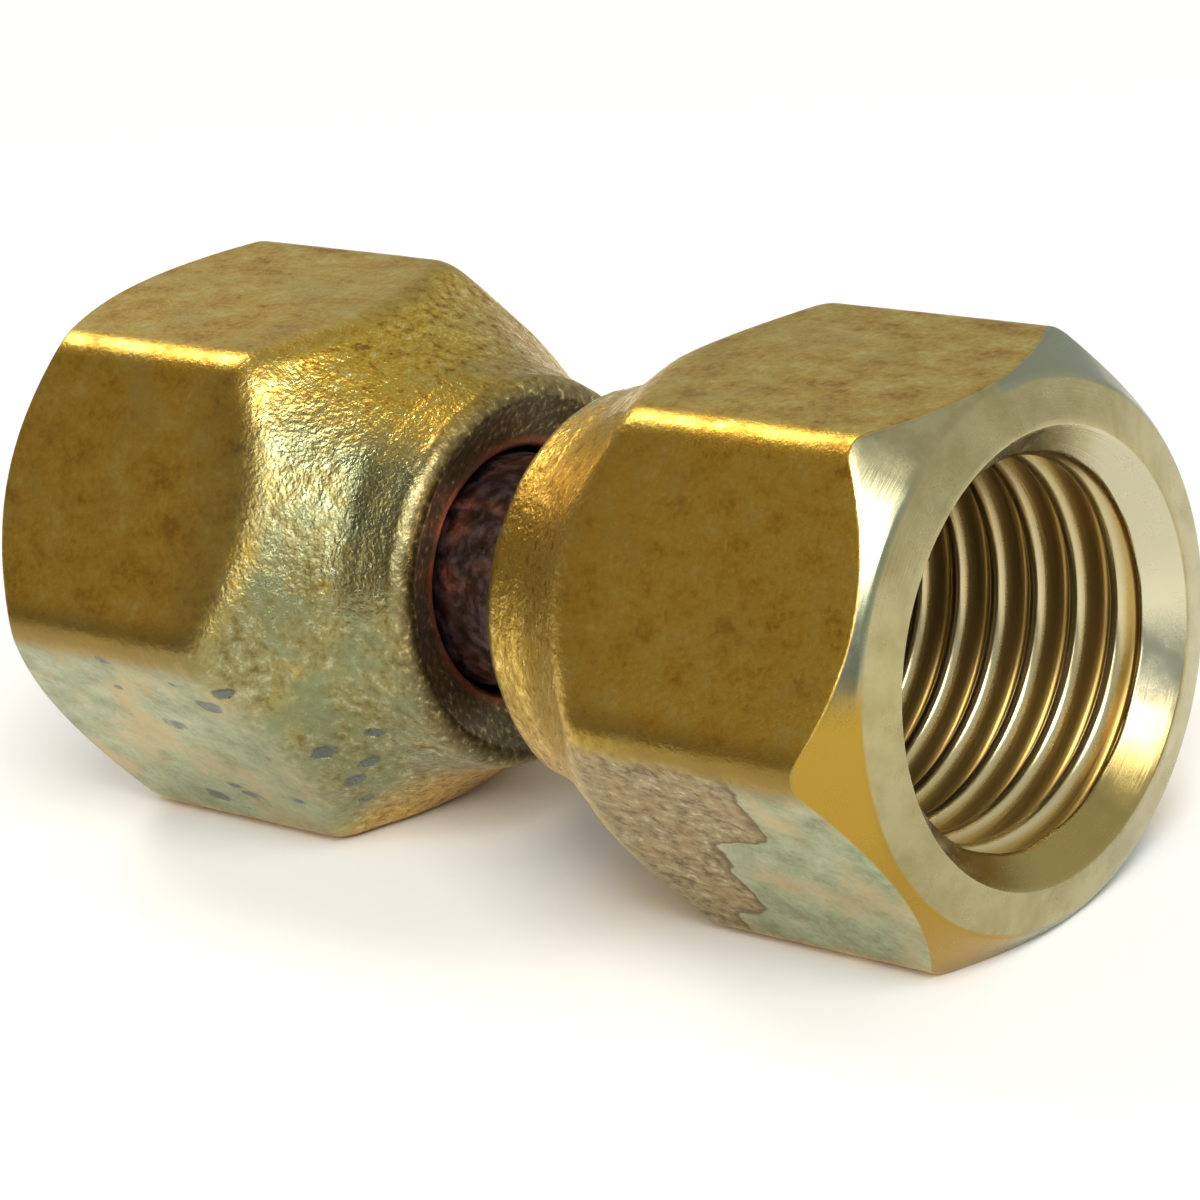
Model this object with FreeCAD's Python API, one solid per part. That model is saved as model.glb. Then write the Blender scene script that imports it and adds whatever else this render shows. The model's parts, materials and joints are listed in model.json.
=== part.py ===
import FreeCAD, Part
import math
import os
from BOPTools import SplitAPI

# Swivel union for 1/4 inch flared tube: two hexagon flare nuts held together by one short
# copper tube whose two ends are flared outwards, so each nut turns freely but cannot come off.
# Millimetres, +Z up. +X runs along the tube, and the origin is on that axis midway between
# the nuts. The nuts lie with one flat facing straight down.

# Driving dimensions
HEX_WIDTH = 14.2875          # across the flats, 9/16 inch
HEX_EDGE_RADIUS = 1.0        # rounding along the six long edges
NUT_LENGTH = 14.2            # rim of the mouth to the lip of the neck
NECK_GAP = 2.8               # between the two necks
MOUTH_DIAMETER = 11.56
FACE_DIAMETER = 13.9         # outer edge of the ring round the mouth
FACE_FALL = 0.35             # how far that ring slopes back from the rim to its outer edge
CHAMFER_ANGLE = 49.0         # turned chamfer behind the ring, from a plane across the axis

THREAD_MAJOR = 11.1125       # 7/16-20 UNF
THREAD_PITCH = 25.4 / 20
THREAD_END = 8.65            # depth where the groove stops
THREAD_START_TURN = 70.0     # where round the bore it stops
COUNTERSINK_ANGLE = 40.0     # from the axis
SEAT_DEPTH = 9.65            # where the 45 degree seat leaves the bore

COLLAR_DIAMETER = 11.1       # neck, where the shoulder runs into it
LIP_DIAMETER = 10.7          # neck, just before its rolled lip
LIP_RADIUS = 0.6
DISH_DEPTH = 0.6
NECK_HOLE_DIAMETER = 6.7
NECK_HOLE_ROUNDING = 0.25

TUBE_DIAMETER = 6.35         # 1/4 inch
TUBE_WALL = 0.8128           # 0.032 inch
FLARE_DIAMETER = 8.6
FLARE_FLOAT = 0.15           # play along the axis between a flare and its seat
FLARE_EDGE_RADIUS = 0.2

# Shoulder of the forging: depth from the rim of the mouth, and radius
SHOULDER_TOP = (8.8, 8.3)
SHOULDER_BEND = (9.9, 7.25)
SHOULDER_CONE_START = (10.85, 6.6)
SHOULDER_CONE_END = (12.0, 5.9)
SHOULDER_FOOT_BEND = (12.4, 5.7)
COLLAR_START = 12.9

# Derived sizes
THREAD_MINOR = THREAD_MAJOR - 1.25 * THREAD_PITCH * math.cos(math.radians(30))
MINOR_RADIUS = THREAD_MINOR / 2
MOUTH_RADIUS = MOUTH_DIAMETER / 2
FACE_RADIUS = FACE_DIAMETER / 2
HOLE_RADIUS = NECK_HOLE_DIAMETER / 2
TUBE_RADIUS = TUBE_DIAMETER / 2
RIM_X = NUT_LENGTH + NECK_GAP / 2
SIDES = 6
OVERSHOOT = 1.0              # how far a cutting tool runs past the metal
AXIS = FreeCAD.Vector(1, 0, 0)
ORIGIN = FreeCAD.Vector(0, 0, 0)


def point(depth, radius):
    """A point of a nut's section, by its depth from the rim of the mouth and its radius."""
    return FreeCAD.Vector(RIM_X - depth, 0, radius)


def line(start, end):
    return Part.LineSegment(point(*start), point(*end)).toShape()


def lines(corners):
    return [line(start, end) for start, end in zip(corners, corners[1:])]


def arc(start, middle, end):
    return Part.Arc(point(*start), point(*middle), point(*end)).toShape()


def round_corner(centre, radius, from_angle, to_angle):
    """A section's arc and its two ends; angles run from 0, towards the neck, to 90, outwards."""
    angles = (from_angle, (from_angle + to_angle) / 2, to_angle)
    turns = [math.radians(angle) for angle in angles]
    points = [(centre[0] + radius * math.cos(t), centre[1] + radius * math.sin(t)) for t in turns]
    return arc(*points), points[0], points[2]


def turned(edges):
    """The solid that a closed section sweeps out round the axis."""
    return Part.Face(Part.Wire(edges)).revolve(ORIGIN, AXIS, 360)


def turned_about(shape):
    """The same piece at the other end, turned half a turn about the vertical."""
    other = shape.copy()
    other.rotate(ORIGIN, FreeCAD.Vector(0, 0, 1), 180)
    return other


def hexagon_bar():
    """Hexagon bar a little longer than a nut, two of its flats level, its long edges rounded."""
    corner = HEX_WIDTH / math.sqrt(3)
    angles = [math.radians(360 * i / SIDES) for i in range(SIDES + 1)]
    neck_x = NECK_GAP / 2
    outline = [FreeCAD.Vector(neck_x, corner * math.cos(a), corner * math.sin(a)) for a in angles]
    length = FreeCAD.Vector(NUT_LENGTH + OVERSHOOT / 2, 0, 0)
    bar = Part.Face(Part.makePolygon(outline)).extrude(length)
    long_edges = [e for e in bar.Edges if abs(e.tangentAt(e.FirstParameter).x) > 0.99]
    return bar.makeFillet(HEX_EDGE_RADIUS, long_edges)


def nut_envelope():
    """What the lathe and the forging die leave: sloped face, chamfer, shoulder, collar, lip.

    The sloped face runs on inwards past the rim, to metal that the bore takes away.
    """
    face_slope = FACE_FALL / (FACE_RADIUS - MOUTH_RADIUS)
    face_start = (face_slope * (HOLE_RADIUS - MOUTH_RADIUS), HOLE_RADIUS)
    centre = (face_start[0], 0)
    face_end = (FACE_FALL, FACE_RADIUS)
    rise = SHOULDER_TOP[1] - FACE_RADIUS
    chamfer_length = rise * math.tan(math.radians(CHAMFER_ANGLE))
    chamfer_end = (FACE_FALL + chamfer_length, SHOULDER_TOP[1])
    collar_start = (COLLAR_START, COLLAR_DIAMETER / 2)
    lip_centre = (NUT_LENGTH - LIP_RADIUS, LIP_DIAMETER / 2 - LIP_RADIUS)
    lip, lip_outside, lip_crest = round_corner(lip_centre, LIP_RADIUS, 90, 0)
    edges = lines([centre, face_start, face_end, chamfer_end, SHOULDER_TOP])
    edges.append(arc(SHOULDER_TOP, SHOULDER_BEND, SHOULDER_CONE_START))
    edges.append(line(SHOULDER_CONE_START, SHOULDER_CONE_END))
    edges.append(arc(SHOULDER_CONE_END, SHOULDER_FOOT_BEND, collar_start))
    edges.append(line(collar_start, lip_outside))
    edges.append(lip)
    edges += lines([lip_crest, (NUT_LENGTH, 0), centre])
    return turned(edges)


def straight_bore():
    """The tapping drill's hole, from outside the mouth to the seat."""
    seat = FreeCAD.Vector(RIM_X - SEAT_DEPTH, 0, 0)
    return Part.makeCylinder(MINOR_RADIUS, SEAT_DEPTH + OVERSHOOT, seat, AXIS)


def inner_shape():
    """Countersink, bore, 45 degree seat, hole for the tube and dished neck end, as one tool."""
    flare = math.tan(math.radians(COUNTERSINK_ANGLE))
    countersink_end = (MOUTH_RADIUS - MINOR_RADIUS) / flare
    seat_end = SEAT_DEPTH + MINOR_RADIUS - HOLE_RADIUS
    dish_radius = LIP_DIAMETER / 2 - LIP_RADIUS
    rounding_depth = NUT_LENGTH - DISH_DEPTH - NECK_HOLE_ROUNDING
    rounding_centre = (rounding_depth, HOLE_RADIUS + NECK_HOLE_ROUNDING)
    rounding, hole_end, floor_start = round_corner(rounding_centre, NECK_HOLE_ROUNDING, -90, 0)
    outside_mouth = (-OVERSHOOT, 0)
    edges = lines([
        outside_mouth,
        (-OVERSHOOT, MOUTH_RADIUS + OVERSHOOT * flare),
        (countersink_end, MINOR_RADIUS),
        (SEAT_DEPTH, MINOR_RADIUS),
        (seat_end, HOLE_RADIUS),
        hole_end,
    ])
    edges.append(rounding)
    edges += lines([
        floor_start,
        (NUT_LENGTH, dish_radius),
        (NUT_LENGTH + OVERSHOOT, dish_radius),
        (NUT_LENGTH + OVERSHOOT, 0),
        outside_mouth,
    ])
    return turned(edges)


def thread_groove():
    """The right-hand helical groove of a 7/16-20 UNF thread, run out past the mouth."""
    root_radius = THREAD_MAJOR / 2
    root_half = THREAD_PITCH / 16
    inner_radius = MINOR_RADIUS - THREAD_PITCH / 20
    inner_half = root_half + (root_radius - inner_radius) * math.tan(math.radians(30))
    section = Part.makePolygon([
        FreeCAD.Vector(inner_radius, 0, -inner_half),
        FreeCAD.Vector(root_radius, 0, -root_half),
        FreeCAD.Vector(root_radius, 0, root_half),
        FreeCAD.Vector(inner_radius, 0, inner_half),
        FreeCAD.Vector(inner_radius, 0, -inner_half),
    ])
    helix = Part.makeHelix(THREAD_PITCH, THREAD_END + THREAD_PITCH, MINOR_RADIUS)
    groove = Part.Wire(helix.Edges).makePipeShell([section], True, True)
    groove.rotate(ORIGIN, FreeCAD.Vector(0, 0, 1), THREAD_START_TURN)
    groove.rotate(ORIGIN, FreeCAD.Vector(0, 1, 0), 90)
    groove.translate(FreeCAD.Vector(RIM_X - THREAD_END, 0, 0))
    return groove


def in_sectors(nut):
    """The same solid with its faces divided by three planes through the axis.

    A crest face then spans a sixth of a turn, not a whole one, so it is a short plain patch.
    """
    reach = 2 * NUT_LENGTH
    corner = FreeCAD.Vector(-reach / 2, -reach / 2, 0)
    planes = []
    for i in range(SIDES // 2):
        plane = Part.makePlane(2 * reach, reach, corner, FreeCAD.Vector(0, 0, 1))
        plane.rotate(ORIGIN, AXIS, 360 * i / SIDES + 360 / SIDES / 8)
        planes.append(plane)
    sectors = SplitAPI.slice(nut, planes, "Split").Solids
    return sectors[0].fuse(sectors[1:])


def flare_nut():
    """The right-hand nut: its open end points along +X."""
    threaded_bar = hexagon_bar().cut(straight_bore()).cut(thread_groove())
    return in_sectors(threaded_bar.cut(inner_shape()).common(nut_envelope()))


def flared_tube():
    """Copper tube with a 45 degree flare at each end, each just clear of its nut's seat."""
    seat_line = SEAT_DEPTH + MINOR_RADIUS - FLARE_FLOAT
    flare_radius = FLARE_DIAMETER / 2
    inner_radius = TUBE_RADIUS - TUBE_WALL
    slant = TUBE_WALL / math.sqrt(2)
    rim_outside = (seat_line - flare_radius, flare_radius)
    rim_inside = (rim_outside[0] - slant, flare_radius - slant)
    half = turned(lines([
        (RIM_X, TUBE_RADIUS),
        (seat_line - TUBE_RADIUS, TUBE_RADIUS),
        rim_outside,
        rim_inside,
        (rim_inside[0] + rim_inside[1] - inner_radius, inner_radius),
        (RIM_X, inner_radius),
        (RIM_X, TUBE_RADIUS),
    ]))
    rim_x = RIM_X - rim_outside[0]
    circles = [e for e in half.Edges if e.BoundBox.XLength < FLARE_EDGE_RADIUS]
    rims = [e for e in circles if e.BoundBox.Center.x > rim_x - FLARE_EDGE_RADIUS]
    half = half.makeFillet(FLARE_EDGE_RADIUS, rims)
    return half.fuse(turned_about(half)).removeSplitter()


def save(name, shape):
    solid = shape.Solids[0]
    if len(shape.Solids) != 1 or not solid.isValid():
        raise ValueError(f"{name} is not one sound solid")
    solid.exportStep(f"parts/{name}.step")
    print(f"{name}: {solid.Volume:.1f} mm3, {len(solid.Faces)} faces")


os.makedirs("parts", exist_ok=True)
right_nut = flare_nut()
save("right_nut", right_nut)
save("left_nut", turned_about(right_nut))
save("flared_tube", flared_tube())
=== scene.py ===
import json
import math

import bmesh
import bpy
import numpy as np
from mathutils import Matrix, Vector, noise


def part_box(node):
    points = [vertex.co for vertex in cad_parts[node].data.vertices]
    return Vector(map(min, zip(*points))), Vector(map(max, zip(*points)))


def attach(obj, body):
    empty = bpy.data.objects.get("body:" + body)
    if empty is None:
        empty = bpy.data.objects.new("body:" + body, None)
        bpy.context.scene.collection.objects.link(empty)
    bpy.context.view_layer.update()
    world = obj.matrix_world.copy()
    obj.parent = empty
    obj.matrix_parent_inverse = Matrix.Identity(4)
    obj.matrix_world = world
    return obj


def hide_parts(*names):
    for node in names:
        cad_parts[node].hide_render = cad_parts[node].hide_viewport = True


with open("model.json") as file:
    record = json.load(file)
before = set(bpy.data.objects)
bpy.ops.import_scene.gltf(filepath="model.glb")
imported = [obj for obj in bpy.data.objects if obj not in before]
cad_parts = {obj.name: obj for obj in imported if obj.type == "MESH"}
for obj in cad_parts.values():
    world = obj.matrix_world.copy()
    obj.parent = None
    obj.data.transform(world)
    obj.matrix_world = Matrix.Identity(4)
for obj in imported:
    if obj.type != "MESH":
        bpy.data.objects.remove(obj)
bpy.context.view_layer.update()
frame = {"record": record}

MM = 0.001

# What the frame says about the pieces, in millimetres
NUT_LOW, NUT_HIGH = (np.array(corner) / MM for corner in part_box("right_nut"))
TUBE_HIGH = np.array(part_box("flared_tube")[1]) / MM
THREAD = next(m for m in frame["record"]["mounts"] if m["name"] == "right_thread")
RIM_X = NUT_HIGH[0]
NUT_LENGTH = NUT_HIGH[0] - NUT_LOW[0]
HALF_WIDTH = (NUT_HIGH[2] - NUT_LOW[2]) / 2
MINOR_RADIUS = THREAD["dims"]["r_mm"]

# Outside of a nut: depths from the rim of the mouth, and radii
SIDES = 6
HEX_EDGE_RADIUS = 1.0
MOUTH_RADIUS = 5.78
FACE_RADIUS = 6.95
FACE_FALL = 0.35
CHAMFER_ANGLE = math.radians(49)
SHOULDER = [(8.8, 8.3), (9.35, 7.74), (9.9, 7.25), (10.4, 6.89), (10.85, 6.6), (11.4, 6.26),
            (12.0, 5.9), (12.4, 5.7), (12.9, 5.56)]
SHOULDER_SOFTNESS = 0.6
LIP_OUTSIDE = 5.35
LIP_RADIUS = 0.6
DISH_DEPTH = 0.6
DISH_BEND = (0.32, 0.5)
HOLE_RADIUS = 3.35
HOLE_ROUNDING = 0.25
EDGE_BREAK = 0.05
FACE_BREAK = 0.11
WEAR_LENGTH = 2.2
OUTSIDE_RADIUS = FACE_RADIUS - 1.6

# Lumps of the forging: each kind's height and size, and how far they all lie in the metal
LUMPS = ((0.05, 1.9), (0.022, 0.8), (0.006, 0.33))
LUMPS_SUNK = 0.02

# Inside of a nut
PITCH = 25.4 / 20
MAJOR_RADIUS = MINOR_RADIUS + 0.625 * PITCH * math.cos(math.radians(30))
COUNTERSINK_SLOPE = math.tan(math.radians(40))
THREAD_END = 8.65
THREAD_END_TURN = math.radians(250)
RUN_IN = (0.7, 1.5)
RUN_OUT = 0.7
SEAT_DEPTH = 9.65

# Tube
TUBE_RADIUS = 3.175
TUBE_WALL = 0.8128
FLARE_RIM = 0.2

# Fineness of the meshes
COLUMNS_PER_SIDE = 48
COLUMNS = SIDES * COLUMNS_PER_SIDE
CROWDING = 0.5
TUBE_COLUMNS = 144
# Rings across one pitch of the thread, as shares of the pitch from a crest
THREAD_PHASES = np.array([-0.5, -0.45, -0.39, -0.33, -0.27, -0.21, -0.15, -0.1, -0.05,
                          0, 0.05, 0.1, 0.15, 0.21, 0.27, 0.33, 0.39, 0.45])

# Finishes that a nut's surface mixes, one number each at every point
FINISHES = ("turned", "forged", "dish", "bore", "groove", "countersunk")
DRAWN = np.zeros(len(FINISHES))
TURNED, FORGED, DISHED, BORE, GROOVE, COUNTERSUNK = np.eye(len(FINISHES))
DISH = DISHED + 0.5 * FORGED
WORN = 0.3 * FORGED
MOSTLY_TURNED = 0.4

# Where stains, painted reflections and painted shade lie round a nut. Angles run from its top towards
# its front, on both nuts
PALE_FLAT = math.radians(120)
FRONT_EDGE = math.radians(90)
EDGE_TINT = math.radians(4)
# Painted silvery reflection on the chamfer, from these angles
SILVERY_REFLECTION_FROM = np.radians([22, 42])
# Painted orange-gold reflection on the chamfer, between these angles
GOLDEN_REFLECTION_FROM = np.radians([68, 80])
GOLDEN_REFLECTION_TO = np.radians([150, 172])
GREENED_REACH = np.radians([48, 72])
# Painted shade: heights over which the countersink darkens towards its bottom
COUNTERSINK_PAINTED_SHADE = (-2.2, -4.2)

# Camera and surroundings
CAMERA_PLACE = (0.08117664, -0.08012786, 0.04403658)
CAMERA_RIGHT = (0.74067, 0.65034, -0.16873)
CAMERA_UP = (-0.12652, 0.38164, 0.91561)
CAMERA_NEAREST = 0.005
LENS = 137.986
SENSOR = 36.0
BLACK = (0.0, 0.0, 0.0, 1)
WARM_DIM = (0.17, 0.14, 0.10, 1)
COOL_GREY = (0.33, 0.37, 0.38, 1)
BRIGHT_WALL = (0.44, 0.42, 0.37, 1)


# ---------------------------------------------------------------- shape of a nut

def smoothstep(low, high, value):
    t = np.clip((value - low) / (high - low), 0, 1)
    return t * t * (3 - 2 * t)


def columns_round():
    """Angles round the axis from the top flat's middle, closer together at the long edges."""
    half = math.pi / SIDES
    step = np.linspace(-1, 1, COLUMNS_PER_SIDE, endpoint=False)
    step = step * (1 - CROWDING) + CROWDING * np.sin(step * math.pi / 2)
    return np.concatenate([2 * half * side + half * step for side in range(SIDES)])


def hexagon_radius(turn):
    """From the axis to the hexagon bar, whose long edges are rounded."""
    half = math.pi / SIDES
    off_middle = np.abs((turn + half) % (2 * half) - half)
    off_edge = half - off_middle
    centre = (HALF_WIDTH - HEX_EDGE_RADIUS) / math.cos(half)
    across = np.maximum(HEX_EDGE_RADIUS ** 2 - (centre * np.sin(off_edge)) ** 2, 0)
    rounded = centre * np.cos(off_edge) + np.sqrt(across)
    tangent = math.atan2(HEX_EDGE_RADIUS * math.sin(half), centre + HEX_EDGE_RADIUS * math.cos(half))
    return np.where(off_edge < tangent, rounded, HALF_WIDTH / np.cos(off_middle))


class Section:
    """Rings of a turned shape. Each holds a depth, a radius and a finish for every column."""

    def __init__(self, columns):
        self.columns = columns
        self.rings = []

    def ring(self, depth, radius, finish):
        full = np.ones(self.columns)
        self.rings.append((depth * full, radius * full, full[:, None] * finish))

    def straight(self, start, end, count, finish, end_finish=None):
        """Rings from start, left out, to end. Both are a depth and a radius."""
        self.bent(start, ((start[0] + end[0]) / 2, (start[1] + end[1]) / 2), end, count, finish,
                  end_finish)

    def bent(self, start, corner, end, count, finish, end_finish=None):
        """Rings from start, left out, to end along a curve that rounds the corner off."""
        last = finish if end_finish is None else end_finish
        for t in np.linspace(0, 1, count + 1)[1:]:
            share = (1 - t) ** 2, 2 * t * (1 - t), t * t
            depth = share[0] * start[0] + share[1] * corner[0] + share[2] * end[0]
            radius = share[0] * start[1] + share[1] * corner[1] + share[2] * end[1]
            self.ring(depth, radius, finish * (1 - t) + last * t)


def shoulder_radius(depth):
    depths, radii = zip(*SHOULDER)
    fine = np.linspace(depths[0], depths[-1], 60)
    curve = np.interp(fine, depths, radii)
    smooth = np.convolve(np.pad(curve, 3, "edge"), np.ones(7) / 7, "valid")
    smooth[0], smooth[-1] = curve[0], curve[-1]
    return np.interp(depth, fine, smooth)


def shoulder_depth(radius):
    depths = np.linspace(SHOULDER[0][0], SHOULDER[-1][0], 400)
    return np.interp(-radius, -shoulder_radius(depths), depths)


def crest_depth(turn):
    """Depth of one crest of the thread, which climbs towards the mouth as the angle grows."""
    return THREAD_END + PITCH / 2 - PITCH * (turn - THREAD_END_TURN) / (2 * math.pi)


def thread(turn, depth):
    """Radius and finish of the bore's wall: worn helical groove, run in and out, countersink."""
    pitches = (depth - crest_depth(turn)) / PITCH
    phase = np.abs(pitches - np.round(pitches))
    groove = smoothstep(0.06, 0.47, phase) * smoothstep(*RUN_IN, depth)
    groove = groove * (1 - smoothstep(THREAD_END - RUN_OUT, THREAD_END, depth))
    wall = MINOR_RADIUS + (MAJOR_RADIUS - MINOR_RADIUS) * groove
    cone = MOUTH_RADIUS - COUNTERSINK_SLOPE * depth
    finish = TURNED + BORE + groove[:, None] * GROOVE
    finish = np.where((cone > wall)[:, None], TURNED + COUNTERSUNK, finish)
    return np.maximum(wall, cone), finish


def nut_section(turn):
    """The closed section of a nut at each angle, and where its helical rings start and end."""
    section = Section(len(turn))
    bar = hexagon_radius(turn)
    along_chamfer = np.array([math.sin(CHAMFER_ANGLE), math.cos(CHAMFER_ANGLE)])
    chamfer_end = FACE_FALL + (bar - FACE_RADIUS) * math.tan(CHAMFER_ANGLE)
    shoulder_start = shoulder_depth(bar)
    cone_start = FACE_BREAK * along_chamfer + (FACE_FALL, FACE_RADIUS)
    cone_end = (chamfer_end - EDGE_BREAK * along_chamfer[0], bar - EDGE_BREAK * along_chamfer[1])
    flat_start = (chamfer_end + EDGE_BREAK, bar)
    flat_end = (shoulder_start - SHOULDER_SOFTNESS, bar)
    foot = shoulder_start + SHOULDER_SOFTNESS
    forged_start = (foot, shoulder_radius(foot))

    fall = FACE_FALL / (FACE_RADIUS - MOUTH_RADIUS)
    mouth = (EDGE_BREAK, MOUTH_RADIUS - EDGE_BREAK * COUNTERSINK_SLOPE)
    face_start = (fall * EDGE_BREAK, MOUTH_RADIUS + EDGE_BREAK)
    face_end = (FACE_FALL - fall * FACE_BREAK, FACE_RADIUS - FACE_BREAK)
    section.bent(mouth, (0, MOUTH_RADIUS), face_start, 3, TURNED)
    section.straight(face_start, face_end, 6, TURNED)
    section.bent(face_end, (FACE_FALL, FACE_RADIUS), cone_start, 3, TURNED)
    section.straight(cone_start, cone_end, 7, TURNED)
    section.bent(cone_end, (chamfer_end, bar), flat_start, 3, TURNED, DRAWN)
    worn_start = (flat_end[0] - WEAR_LENGTH, bar)
    section.straight(flat_start, worn_start, 14, DRAWN)
    section.straight(worn_start, flat_end, 7, DRAWN, WORN)
    section.bent(flat_end, (shoulder_start, bar), forged_start, 8, WORN, FORGED)
    for t in np.linspace(0, 1, 41)[1:]:
        depth = foot * (1 - t) + SHOULDER[-1][0] * t
        section.ring(depth, shoulder_radius(depth), FORGED)

    lip_start = (NUT_LENGTH - LIP_RADIUS, LIP_OUTSIDE)
    lip_top = (NUT_LENGTH, LIP_OUTSIDE - LIP_RADIUS)
    dish_bend = (lip_top[0] - DISH_BEND[0], lip_top[1] - DISH_BEND[1])
    floor_end = (NUT_LENGTH - DISH_DEPTH, HOLE_RADIUS + HOLE_ROUNDING)
    hole_start = (floor_end[0] - HOLE_ROUNDING, HOLE_RADIUS)
    seat_end = (SEAT_DEPTH + MINOR_RADIUS - HOLE_RADIUS, HOLE_RADIUS)
    seat_start = (SEAT_DEPTH, MINOR_RADIUS)
    section.straight(SHOULDER[-1], lip_start, 10, FORGED)
    for t in np.linspace(0, math.pi / 2, 10)[1:]:
        finish = FORGED * math.cos(t) + DISH * math.sin(t)
        section.ring(lip_start[0] + LIP_RADIUS * math.sin(t),
                     lip_top[1] + LIP_RADIUS * math.cos(t), finish)
    section.bent(lip_top, dish_bend, floor_end, 12, DISH)
    section.bent(floor_end, (floor_end[0], HOLE_RADIUS), hole_start, 5, DISH)
    section.straight(hole_start, seat_end, 5, DISH, TURNED + BORE)
    section.straight(seat_end, seat_start, 5, TURNED + BORE)
    section.straight(seat_start, (THREAD_END + EDGE_BREAK, MINOR_RADIUS), 3, TURNED + BORE)

    first_groove = (MOUTH_RADIUS - MAJOR_RADIUS) / COUNTERSINK_SLOPE
    turns = math.ceil((THREAD_END - first_groove) / PITCH) + 3
    nearest = math.floor((first_groove - crest_depth(0)) / PITCH) - 1
    offsets = (np.arange(turns)[:, None] + nearest + THREAD_PHASES[None, :]).ravel() * PITCH
    helix_start = len(section.rings)
    for offset in offsets[::-1]:
        depth = np.clip(crest_depth(turn) + offset, first_groove, THREAD_END)
        section.ring(depth, *thread(turn, depth))
    helix_end = len(section.rings) - 1
    section.straight((first_groove, MAJOR_RADIUS), mouth, 2, TURNED + COUNTERSUNK)
    return section, helix_start, helix_end


def ring_faces(rings, columns, helix=None):
    """Faces of a closed section. The helical rings join one pitch on, where a turn closes."""
    here, column = np.meshgrid(np.arange(rings), np.arange(columns), indexing="ij")
    here, column = here.ravel(), column.ravel()
    after = (here + 1) % rings
    beyond = (column + 1) % columns
    there, there_after = here.copy(), after.copy()
    if helix:
        shifted = (column == columns - 1) & (here >= helix[0]) & (here < helix[1])
        there[shifted] = np.minimum(here[shifted] + len(THREAD_PHASES), helix[1])
        there_after[shifted] = np.minimum(after[shifted] + len(THREAD_PHASES), helix[1])
    corners = [(here, column), (there, beyond), (there_after, beyond), (after, column)]
    return np.stack([ring * columns + place for ring, place in corners], axis=1)


def off_angle(turn, angle):
    """How far each turn is from that angle, whichever way round is shorter."""
    return np.abs((turn - angle + math.pi) % (2 * math.pi) - math.pi)


def sector(turn, angle):
    """1 on the flat at that angle, 0 on the others and over the rounded long edges."""
    half = math.pi / SIDES
    return 1 - smoothstep(half - EDGE_TINT, half, off_angle(turn, angle))


def lump(point, size, seed):
    """Smooth noise about zero, with lumps of about that size."""
    return noise.noise(Vector(point) / size + Vector((seed, 2.3 * seed, -seed)))


def welded(name, points, faces, values, seed):
    """A mesh object with doubled points merged, and the forging's lumps pressed into it."""
    mesh = bpy.data.meshes.new(name)
    mesh.from_pydata((points * MM).tolist(), [], faces.tolist())
    for key, column in values.items():
        mesh.attributes.new(key, "FLOAT", "POINT").data.foreach_set("value", column)
    shape = bmesh.new()
    shape.from_mesh(mesh)
    bmesh.ops.remove_doubles(shape, verts=shape.verts, dist=2e-7)
    bmesh.ops.dissolve_degenerate(shape, edges=shape.edges, dist=1e-7)
    bmesh.ops.recalc_face_normals(shape, faces=shape.faces)
    shape.normal_update()
    if "forged" in values:
        forged = shape.verts.layers.float["forged"]
        for vertex in shape.verts:
            share = vertex[forged]
            if share > 0:
                at = vertex.co / MM
                rise = sum(height * lump(at, size, seed) for height, size in LUMPS)
                vertex.co += vertex.normal * share * (rise - LUMPS_SUNK) * MM
    shape.to_mesh(mesh)
    shape.free()
    mesh.shade_smooth()
    made = bpy.data.objects.new(name, mesh)
    bpy.context.scene.collection.objects.link(made)
    return made


def kept_inside(piece, low, high):
    """Points that the lumps moved out of the CAD piece's box, in metres, are put back on it."""
    place = np.empty(len(piece.data.vertices) * 3)
    piece.data.vertices.foreach_get("co", place)
    place = np.clip(place.reshape(-1, 3), low, high)
    piece.data.vertices.foreach_set("co", place.ravel())
    piece.data.update()


def stains_and_painted_light(facing, turn, radius, turned):
    """Where each stain, painted reflection and painted shade of a nut lies, from 0 to 1 at every
    point.
    """
    from_top = (turn if facing > 0 else -turn) % (2 * math.pi)
    from_edge = off_angle(from_top, FRONT_EDGE)
    outside = radius > OUTSIDE_RADIUS
    chamfer = (turned > MOSTLY_TURNED) & (radius > FACE_RADIUS - FACE_BREAK / 2)
    # Painted reflection: an orange-gold tint on the chamfer from the front round to below
    golden = smoothstep(*GOLDEN_REFLECTION_FROM, from_top) * (1 - smoothstep(*GOLDEN_REFLECTION_TO, from_top))
    # Painted reflection: a silvery grey tint on the chamfer between the top and the front
    painted_silvery_reflection = smoothstep(*SILVERY_REFLECTION_FROM, from_top) * (1 - golden)
    pale = outside * sector(from_top, PALE_FLAT)
    # Painted shade: the front long edge, which reflects the dimmer floor under the nut
    painted_edge_shade = outside * (1 - smoothstep(0, 2 * EDGE_TINT, from_edge))
    greened = (1 - smoothstep(*GREENED_REACH, from_edge)) * (facing < 0)
    masks = {"pale": pale, "golden": chamfer * golden, "painted_silvery_reflection": chamfer * painted_silvery_reflection,
             "scaled": pale * (facing > 0), "pitted": pale * (facing < 0), "painted_edge_shade": painted_edge_shade,
             "greened": np.broadcast_to(greened, radius.shape)}
    return {key: mask.ravel() for key, mask in masks.items()}


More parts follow.
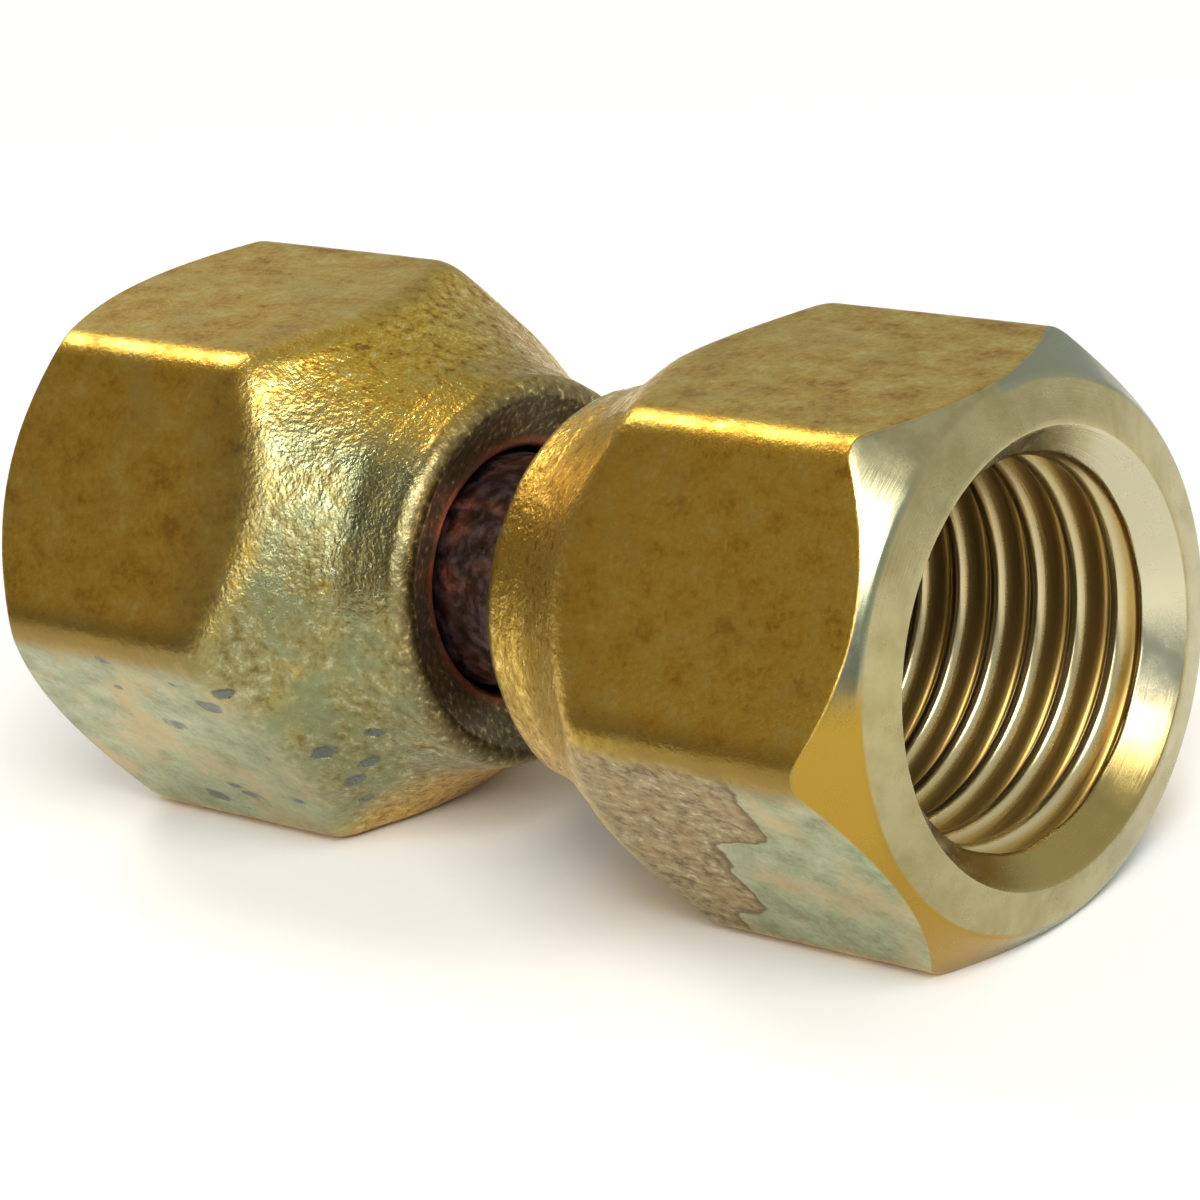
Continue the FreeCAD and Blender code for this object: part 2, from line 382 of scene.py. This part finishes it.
def nut(name, node, facing, seed):
    """A nut whose open face looks along +X when facing is 1, and along -X when it is -1."""
    turn = columns_round()
    section, helix_start, helix_end = nut_section(turn)
    depth = np.array([ring[0] for ring in section.rings])
    radius = np.array([ring[1] for ring in section.rings])
    finish = np.array([ring[2] for ring in section.rings])
    points = np.stack([facing * (RIM_X - depth), -facing * radius * np.sin(turn),
                       radius * np.cos(turn)], axis=-1).reshape(-1, 3)
    values = {key: finish[:, :, i].ravel() for i, key in enumerate(FINISHES)}
    values.update(stains_and_painted_light(facing, turn, radius, finish[:, :, FINISHES.index("turned")]))
    faces = ring_faces(len(section.rings), COLUMNS, (helix_start, helix_end))
    made = welded(name, points, faces, values, seed)
    kept_inside(made, *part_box(node))
    return made


def tube():
    """The copper tube with a flare at each end."""
    inner_radius = TUBE_RADIUS - TUBE_WALL
    slant = TUBE_WALL / math.sqrt(2)
    tip = TUBE_HIGH[0]
    rim = TUBE_HIGH[2]
    outside_bend = tip - slant - (rim - TUBE_RADIUS)
    inside_bend = tip - (rim - slant - inner_radius)
    # The rim's corner stands out a little, so that its rounding comes back to the rim
    corners = [(0, TUBE_RADIUS), (outside_bend, TUBE_RADIUS), (tip - slant, rim + FLARE_RIM / 4),
               (tip, rim - slant), (inside_bend, inner_radius), (0, inner_radius)]
    section = Section(TUBE_COLUMNS)
    plain = np.zeros(1)
    loop = corners + [(-along, radius) for along, radius in corners[-2:0:-1]]
    for before, corner, after in zip(loop[-1:] + loop[:-1], loop, loop[1:] + loop[:1]):
        near, far = (np.array(corner) + FLARE_RIM * (np.array(other) - corner)
                     / math.dist(other, corner) for other in (before, after))
        section.bent(near, corner, far, 5, plain)
        section.straight(far, np.array(after) - (far - corner), 6, plain)
    along = np.array([ring[0] for ring in section.rings])
    radius = np.minimum(np.array([ring[1] for ring in section.rings]), rim)
    turn = np.linspace(0, 2 * math.pi, TUBE_COLUMNS, endpoint=False)
    points = np.stack([along, -radius * np.sin(turn), radius * np.cos(turn)], axis=-1).reshape(-1, 3)
    return welded("copper_tube", points, ring_faces(len(section.rings), TUBE_COLUMNS), {}, 0)


# ---------------------------------------------------------------- materials

class Material:
    """A node material, written as a chain of small steps."""

    def __init__(self, name):
        self.material = bpy.data.materials.new(name)
        self.material.use_nodes = True
        self.tree = self.material.node_tree
        self.tree.nodes.clear()
        place = self.put("ShaderNodeTexCoord", {}, output="Object")
        self.place = self.put("ShaderNodeVectorMath", {0: place, 3: 1 / MM}, operation="SCALE")
        self.parts = self.tree.nodes.new("ShaderNodeSeparateXYZ")
        self.tree.links.new(self.place, self.parts.inputs[0])

    def put(self, kind, inputs, output=0, **settings):
        made = self.tree.nodes.new(kind)
        for key, value in settings.items():
            setattr(made, key, value)
        for key, value in inputs.items():
            if isinstance(value, bpy.types.NodeSocket):
                self.tree.links.new(value, made.inputs[key])
            else:
                made.inputs[key].default_value = value
        return made.outputs[output]

    def attribute(self, name):
        return self.put("ShaderNodeAttribute", {}, output="Fac", attribute_name=name)

    def noise(self, scale, detail=3.0, rough=0.5, distortion=0.0, place=None):
        inputs = {"Vector": place or self.place, "Scale": scale, "Detail": detail,
                  "Roughness": rough, "Distortion": distortion}
        return self.put("ShaderNodeTexNoise", inputs)

    def stretched(self, along, across):
        """Coordinates drawn out along the axis by the ratio of across to along."""
        return self.put("ShaderNodeVectorMath", {0: self.place, 1: (along, across, across)},
                        operation="MULTIPLY")

    def math(self, operation, a, b=0.0, clamp=False):
        return self.put("ShaderNodeMath", {0: a, 1: b}, operation=operation, use_clamp=clamp)

    def spread(self, value, low, high, to_low=0.0, to_high=1.0):
        """Smoothly from to_low where value is low to to_high where it is high."""
        return self.put("ShaderNodeMapRange", {0: value, 1: low, 2: high, 3: to_low, 4: to_high},
                        interpolation_type="SMOOTHSTEP")

    def mix(self, share, a, b):
        a = (*a, 1) if isinstance(a, tuple) else a
        b = (*b, 1) if isinstance(b, tuple) else b
        return self.put("ShaderNodeMix", {0: share, 6: a, 7: b}, output=2, data_type="RGBA")

    def blend(self, share, a, b):
        return self.put("ShaderNodeMix", {0: share, 2: a, 3: b}, data_type="FLOAT")

    def ramp(self, value, stops):
        made = self.tree.nodes.new("ShaderNodeValToRGB")
        self.tree.links.new(value, made.inputs[0])
        points = made.color_ramp.elements
        while len(points) < len(stops):
            points.new(0.5)
        for point, (place, colour) in zip(points, stops):
            point.position = place
            point.color = (*colour, 1)
        return made.outputs[0]

    def surface(self, colour, roughness, normal, **fixed):
        shader = self.tree.nodes.new("ShaderNodeBsdfPrincipled")
        shader.inputs["Metallic"].default_value = 1.0
        for key, value in fixed.items():
            shader.inputs[key.replace("_", " ")].default_value = value
        self.tree.links.new(colour, shader.inputs["Base Color"])
        self.tree.links.new(roughness, shader.inputs["Roughness"])
        self.tree.links.new(normal, shader.inputs["Normal"])
        output = self.tree.nodes.new("ShaderNodeOutputMaterial")
        self.tree.links.new(shader.outputs[0], output.inputs["Surface"])
        return self.material


def brass():
    m = Material("nut_brass")
    x, y, z = (m.parts.outputs[i] for i in range(3))
    turned, forged, dish, bore, groove, countersunk = (m.attribute(key) for key in FINISHES)
    pale, scaled, pitted, golden, painted_silvery_reflection, painted_edge_shade, greened = (m.attribute(key) for key in (
        "pale", "scaled", "pitted", "golden", "painted_silvery_reflection", "painted_edge_shade", "greened"))
    depth = m.math("SUBTRACT", float(RIM_X), m.math("ABSOLUTE", x))
    off_axis = m.put("ShaderNodeVectorMath", {0: m.stretched(0.0, 1.0)}, output="Value",
                     operation="LENGTH")
    on_flat = m.math("SUBTRACT", 1.0, forged, clamp=True)

    cloud = m.noise(0.42, 4.0, 0.62)
    mottle = m.noise(1.3, 5.0, 0.62, place=m.stretched(0.7, 1.0))
    grain = m.noise(5.5, 3.0, 0.6)
    fine = m.noise(15.0, 2.0, 0.6)

    # Drawn flats: golden brown with soft clouds and a fine grain
    tone = m.math("ADD", m.math("MULTIPLY", mottle, 0.68), m.math("MULTIPLY", grain, 0.32))
    drawn = m.ramp(tone, [(0.36, (0.38, 0.20, 0.018)), (0.46, (0.62, 0.37, 0.045)),
                          (0.55, (0.80, 0.52, 0.08)), (0.66, (0.98, 0.74, 0.20))])
    drawn = m.mix(m.spread(cloud, 0.50, 0.72, 0.0, 0.45), drawn, (0.62, 0.50, 0.15))
    # One flat paler: cream with a green cast
    pale_flat_tone = m.ramp(tone, [(0.36, (0.25, 0.25, 0.13)), (0.50, (0.34, 0.37, 0.22)),
                          (0.66, (0.48, 0.48, 0.31))])
    pale_flat_tone = m.mix(m.spread(cloud, 0.46, 0.68, 0.0, 0.7), pale_flat_tone, (0.56, 0.40, 0.19))
    flats = m.mix(pale, drawn, pale_flat_tone)
    # Painted shade darkens the front long edge
    flats = m.mix(painted_edge_shade, flats, (0.26, 0.17, 0.035))

    # Forged shoulder and neck: green-gold and grey with finer yellow grains and dirt
    grains = m.noise(3.4, 5.0, 0.66, 0.2)
    tarnish = m.ramp(grains, [(0.34, (0.26, 0.14, 0.018)), (0.45, (0.56, 0.34, 0.042)),
                              (0.55, (0.70, 0.46, 0.07)), (0.66, (0.86, 0.66, 0.21))])
    skin = m.ramp(grains, [(0.34, (0.15, 0.12, 0.04)), (0.45, (0.235, 0.20, 0.075)),
                           (0.55, (0.27, 0.25, 0.11)), (0.66, (0.40, 0.39, 0.23))])
    skin = m.mix(m.spread(m.noise(0.75, 4.0, 0.6), 0.44, 0.62, 0.0, 0.75), skin, (0.21, 0.23, 0.12))
    skin = m.mix(m.math("MULTIPLY", greened, m.spread(cloud, 0.30, 0.46, 0.72, 1.0)), tarnish, skin)
    shell = m.mix(forged, flats, skin)

    # Scale left from the forging on one flat, with a stepped edge
    across = m.math("SUBTRACT", m.math("MULTIPLY", y, 0.5),
                    m.math("MULTIPLY", z, math.sqrt(3) / 2))
    edge = m.math("ADD", m.spread(across, -1.3, -0.4, 3.9, 6.0), m.spread(across, 2.1, 3.4, 0, 1.4))
    wander = m.math("MULTIPLY", m.math("SUBTRACT", m.noise(1.1, 3.0), 0.5), 1.6)
    inwards = m.math("ADD", m.math("SUBTRACT", depth, edge), wander)
    patch = m.math("MULTIPLY", m.spread(inwards, -0.05, 0.12), scaled)
    patch = m.math("MULTIPLY", patch, m.spread(on_flat, 0.25, 0.7))
    border = m.math("MULTIPLY", m.spread(inwards, 0.5, 0.08), 0.75)
    crust_height = m.noise(3.2, 5.0, 0.66, 0.2, place=m.stretched(0.8, 1.2))
    crust = m.ramp(crust_height, [(0.36, (0.17, 0.11, 0.05)), (0.48, (0.31, 0.24, 0.12)),
                                  (0.60, (0.42, 0.34, 0.19)), (0.70, (0.62, 0.55, 0.34))])
    crust = m.mix(m.spread(m.noise(0.9, 3.0), 0.48, 0.6, 0.0, 0.35), crust, (0.40, 0.28, 0.11))
    crust = m.mix(border, crust, (0.13, 0.085, 0.04))
    shell = m.mix(patch, shell, crust)

    # Small dark pits on one flat of the other nut
    cells = {"Vector": m.stretched(0.55, 1.1), "Scale": 1.15, "Randomness": 1.0}
    to_cell = m.put("ShaderNodeTexVoronoi", cells, output="Distance")
    pit_size = m.spread(m.put("ShaderNodeTexVoronoi", cells, output="Color"), 0.2, 1.0, 0.02, 0.42)
    ragged = m.math("ADD", to_cell, m.math("MULTIPLY", m.math("SUBTRACT", m.noise(3.5), 0.5), 0.3))
    pit = m.spread(m.math("SUBTRACT", pit_size, ragged), -0.04, 0.12)
    pit = m.math("MULTIPLY", m.math("MULTIPLY", pit, pitted), m.spread(depth, 3.4, 5.0))
    shell = m.mix(m.math("MULTIPLY", pit, 0.85), shell, (0.12, 0.13, 0.13))

    # Dished end of the neck: dark, with sparse golden flecks and a reddish edge at the hole
    bowl = m.ramp(m.noise(5.0, 3.0, 0.6), [(0.36, (0.09, 0.07, 0.035)), (0.54, (0.17, 0.135, 0.06)),
                                           (0.62, (0.30, 0.23, 0.10)), (0.70, (0.66, 0.52, 0.24))])
    bowl = m.mix(m.spread(off_axis, HOLE_RADIUS + 0.15, HOLE_RADIUS + 0.5, 0.8, 0.0), bowl,
                 (0.34, 0.12, 0.055))
    shell = m.mix(dish, shell, bowl)

    # Turned face and chamfer; brighter countersink; darker thread grooves with paler crests
    clean = m.ramp(m.noise(0.9, 4.0, 0.6), [(0.35, (0.34, 0.29, 0.135)), (0.6, (0.42, 0.365, 0.19))])
    # Painted reflection on the chamfer: silvery grey
    clean = m.mix(painted_silvery_reflection, clean, (0.28, 0.285, 0.18))
    # Painted reflection on the chamfer: orange gold
    clean = m.mix(golden, clean, (0.38, 0.235, 0.033))
    # Painted shade: the countersink darker and more golden towards its bottom
    bevel = m.mix(m.spread(z, *COUNTERSINK_PAINTED_SHADE), (0.60, 0.56, 0.38), (0.36, 0.27, 0.09))
    clean = m.mix(countersunk, clean, bevel)
    inside = m.mix(m.spread(groove, 0.05, 0.4), (0.58, 0.50, 0.29), (0.42, 0.28, 0.08))
    clean = m.mix(bore, clean, inside)
    shell = m.mix(turned, shell, clean)

    # Roughness
    rough = m.spread(tone, 0.36, 0.66, 0.42, 0.30)
    rough = m.blend(pale, rough, 0.42)
    rough = m.blend(forged, rough, m.spread(grains, 0.36, 0.66, 0.42, 0.24))
    rough = m.blend(patch, rough, 0.55)
    rough = m.blend(dish, rough, 0.42)
    rough = m.blend(turned, rough, m.spread(m.noise(1.2, 3.0), 0.35, 0.65, 0.20, 0.28))
    rough = m.blend(bore, rough, m.spread(groove, 0.1, 0.6, 0.24, 0.34))
    rough = m.math("ADD", rough, m.math("MULTIPLY", m.math("SUBTRACT", fine, 0.5), 0.10))

    # Relief: grain on the flats, blasted skin on the forging, lathe marks on turned metal
    lathe_at = m.put("ShaderNodeCombineXYZ", {0: x, 1: off_axis, 2: 0.0})
    lathe = m.noise(16.0, 2.0, 0.6, place=lathe_at)
    blasted = m.math("ADD", m.math("MULTIPLY", m.noise(3.6, 3.0, 0.55), 0.22),
                     m.math("MULTIPLY", m.noise(9.0, 2.0, 0.5), 0.17))
    relief = m.math("MULTIPLY", m.math("ADD", grain, m.math("MULTIPLY", fine, 0.5)), 0.10)
    relief = m.blend(forged, relief, blasted)
    relief = m.blend(patch, relief, m.math("MULTIPLY", crust_height, 0.5))
    relief = m.math("MULTIPLY", relief, m.spread(dish, 0.0, 1.0, 1.0, 0.55))
    relief = m.math("SUBTRACT", relief, m.math("MULTIPLY", pit, 0.5))
    relief = m.blend(turned, relief, m.math("MULTIPLY", lathe, 0.02))
    normal = m.put("ShaderNodeBump", {"Strength": 1.0, "Distance": 0.16 * MM, "Height": relief})
    return m.surface(shell, rough, normal, Coat_Weight=0.12, Coat_Roughness=0.30, Coat_IOR=1.5)


def copper():
    m = Material("tube_copper")
    cloud = m.noise(1.1, 4.0, 0.6, place=m.stretched(0.5, 1.3))
    colour = m.ramp(cloud, [(0.34, (0.15, 0.11, 0.12)), (0.50, (0.26, 0.18, 0.17)),
                            (0.62, (0.40, 0.20, 0.15)), (0.74, (0.66, 0.32, 0.18))])
    rough = m.spread(m.noise(3.0), 0.35, 0.65, 0.30, 0.5)
    height = m.noise(5.0, 3.0)
    normal = m.put("ShaderNodeBump", {"Strength": 0.6, "Distance": 0.03 * MM, "Height": height})
    return m.surface(colour, rough, normal, Coat_Weight=0.1, Coat_Roughness=0.3)


# ---------------------------------------------------------------- pieces

BRASS = brass()
COPPER = copper()
PIECES = [(nut("right_flare_nut", "right_nut", 1, 3.1), "right_nut", "right_nut", "nut_brass", BRASS),
          (nut("left_flare_nut", "left_nut", -1, 8.7), "left_nut", "left_nut", "nut_brass", BRASS),
          (tube(), "flared_tube", "tube", "tube_copper", COPPER)]
for piece, node, body, slot, material in PIECES:
    piece.data.materials.append(material)
    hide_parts(node)
    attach(piece, body)


# ---------------------------------------------------------------- floor, light and camera

FLOOR_Z = NUT_LOW[2] * MM
FLOOR_REACH = 1.0


def floor():
    corners = [(-FLOOR_REACH, -FLOOR_REACH, FLOOR_Z), (FLOOR_REACH, -FLOOR_REACH, FLOOR_Z),
               (FLOOR_REACH, FLOOR_REACH, FLOOR_Z), (-FLOOR_REACH, FLOOR_REACH, FLOOR_Z)]
    mesh = bpy.data.meshes.new("floor")
    mesh.from_pydata(corners, [], [(0, 1, 2, 3)])
    made = bpy.data.objects.new("floor", mesh)
    bpy.context.scene.collection.objects.link(made)
    material = bpy.data.materials.new("floor")
    material.use_nodes = True
    shader = material.node_tree.nodes["Principled BSDF"]
    shader.inputs["Base Color"].default_value = (0.90, 0.90, 0.89, 1)
    shader.inputs["Roughness"].default_value = 0.9
    shader.inputs["Specular IOR Level"].default_value = 0.1
    mesh.materials.append(material)


def softbox(name, direction, distance, size, power, colour):
    """A square area light, that far from the object in that direction and facing it."""
    light = bpy.data.lights.new(name, "AREA")
    light.shape = "RECTANGLE"
    light.size, light.size_y = size
    light.energy = power
    light.color = colour
    made = bpy.data.objects.new(name, light)
    away = Vector(direction).normalized()
    made.location = away * distance
    made.rotation_euler = away.to_track_quat("Z", "Y").to_euler()
    bpy.context.scene.collection.objects.link(made)


def surroundings(dim_side, bright_side):
    """A soft grey studio, darker and warmer on one side and with a bright wall on another."""
    world = bpy.data.worlds.new("studio")
    world.use_nodes = True
    tree = world.node_tree
    place = tree.nodes.new("ShaderNodeTexCoord")
    shades = []
    for side, near, far in ((dim_side, WARM_DIM, COOL_GREY), (bright_side, BRIGHT_WALL, BLACK)):
        towards = tree.nodes.new("ShaderNodeVectorMath")
        towards.operation = "DOT_PRODUCT"
        towards.inputs[1].default_value = Vector(side).normalized()
        shade = tree.nodes.new("ShaderNodeValToRGB")
        shade.color_ramp.elements[0].position = 0.25
        shade.color_ramp.elements[0].color = far
        shade.color_ramp.elements[1].position = 0.85
        shade.color_ramp.elements[1].color = near
        tree.links.new(place.outputs["Generated"], towards.inputs[0])
        tree.links.new(towards.outputs["Value"], shade.inputs[0])
        shades.append(shade.outputs[0])
    both = tree.nodes.new("ShaderNodeVectorMath")
    both.operation = "ADD"
    for socket, shade in zip(both.inputs, shades):
        tree.links.new(shade, socket)
    tree.links.new(both.outputs[0], tree.nodes["Background"].inputs["Color"])
    bpy.context.scene.world = world


def camera():
    data = bpy.data.cameras.new("camera")
    data.sensor_width = SENSOR
    data.lens = LENS
    data.clip_start = CAMERA_NEAREST
    made = bpy.data.objects.new("camera", data)
    right = Vector(CAMERA_RIGHT)
    up = Vector(CAMERA_UP)
    turn = Matrix((right, up, right.cross(up))).transposed()
    made.matrix_world = Matrix.Translation(CAMERA_PLACE) @ turn.to_4x4()
    bpy.context.scene.collection.objects.link(made)
    bpy.context.scene.camera = made


floor()
softbox("overhead", (0.55, -0.42, 0.72), 0.45, (0.24, 0.24), 1.9, (1.0, 0.98, 0.95))
softbox("back_left", (-0.66, 0.12, 0.72), 0.45, (0.16, 0.22), 0.8, (1.0, 0.93, 0.80))
softbox("front", (0.25, -0.85, 0.46), 0.50, (0.20, 0.20), 0.5, (1.0, 0.98, 0.95))
surroundings((-0.66, -0.645, 0.386), (0.75, 0.66, 0.06))
camera()
bpy.context.scene.view_settings.view_transform = "Standard"
